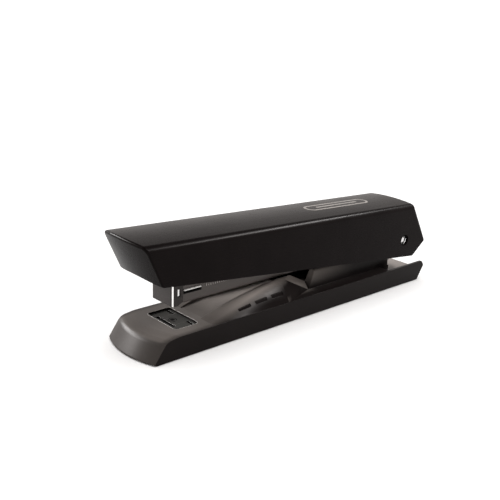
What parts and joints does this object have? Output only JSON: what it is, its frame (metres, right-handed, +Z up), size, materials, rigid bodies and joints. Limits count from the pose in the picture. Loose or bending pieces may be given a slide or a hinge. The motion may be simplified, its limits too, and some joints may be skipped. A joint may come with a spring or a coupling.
{
  "type": "desktop stapler",
  "caption": "Black full-strip desktop stapler: a long cap and staple magazine hinged together at the rear of a low base with a sunk clinching plate.",
  "frame": {"origin": "centre of the overall box in plan, on the surface the stapler stands on", "axes": "+Z up, -Y towards the nose, +X towards the stapler's own left seen from behind"},
  "size_m": [0.039, 0.2039, 0.0578],
  "materials": {
    "base_plastic": "fine satin grain, black",
    "cover_plastic": "satin black with soft sheen",
    "mark_plastic": "matt dark grey inlay",
    "button_plastic": "matt black",
    "pusher_plastic": "matt dark grey",
    "rubber_foot": "matt black",
    "nose_steel": "black satin coat, bright at bends",
    "magazine_steel": "black satin coat",
    "anvil_steel": "dark oxide",
    "cap_frame_steel": "black coat",
    "zinc_steel": "dull zinc",
    "screw_steel": "dull steel",
    "spring_steel": "spring steel",
    "blade_steel": "hardened ground steel",
    "staple_wire": "bright wire",
    "tab_steel": "bright zinc",
    "bright_rivet": "polished nickel"
  },
  "bodies": {
    "base": {"base_cover": "base_plastic", "base_frame": "zinc_steel", "base_screws": "screw_steel", "foot_front": "rubber_foot", "foot_rear": "rubber_foot", "hinge_pin": "bright_rivet", "hinge_spacers": "zinc_steel", "arm_return_spring": "spring_steel", "arm_spring_rivet": "screw_steel"},
    "anvil": {"anvil_plate": "anvil_steel", "anvil_stem": "anvil_steel", "anvil_button": "button_plastic", "anvil_spring": "spring_steel"},
    "magazine": {"magazine_channel": "magazine_steel", "nose_plate": "nose_steel", "nose_tabs": "tab_steel", "staple_core": "zinc_steel", "magazine_rivets": "screw_steel", "staple_strip": "staple_wire", "rear_stop": "zinc_steel", "pusher_rod": "spring_steel"},
    "follower": {"pusher": "pusher_plastic", "pusher_spring": "spring_steel"},
    "cap": {"cap_cover": "cover_plastic", "cap_frame": "cap_frame_steel", "driver_blade": "blade_steel", "driver_rivets": "screw_steel", "cap_spring": "spring_steel", "cap_spring_rivet": "screw_steel", "cap_screws": "screw_steel", "top_mark": "mark_plastic"}
  },
  "joints": [
    {"name": "arm_hinge", "type": "hinge", "parent": "base", "child": "magazine", "pos_m": [0, 0.083, 0.027], "axis": [-1, 0, 0], "range_deg": [-3.1, 75], "stiffness_Nm_per_rad": 1.5, "springref_deg": 6.88, "deforming": ["arm_return_spring"]},
    {"name": "cap_hinge", "type": "hinge", "parent": "magazine", "child": "cap", "pos_m": [0, 0.083, 0.027], "axis": [-1, 0, 0], "range_deg": [-3.05, 62], "stiffness_Nm_per_rad": 1.5, "springref_deg": 3.44, "deforming": ["cap_spring"]},
    {"name": "pusher_slide", "type": "slide", "parent": "magazine", "child": "follower", "axis": [0, 1, 0], "range_m": [0, 0.056], "stiffness_N_per_m": 15, "springref_m": -0.06, "deforming": ["pusher_spring"]},
    {"name": "anvil_lift", "type": "slide", "parent": "base", "child": "anvil", "axis": [0, 0, 1], "range_m": [0, 0.0016], "stiffness_N_per_m": 600, "springref_m": -0.002, "deforming": ["anvil_spring"]}
  ]
}
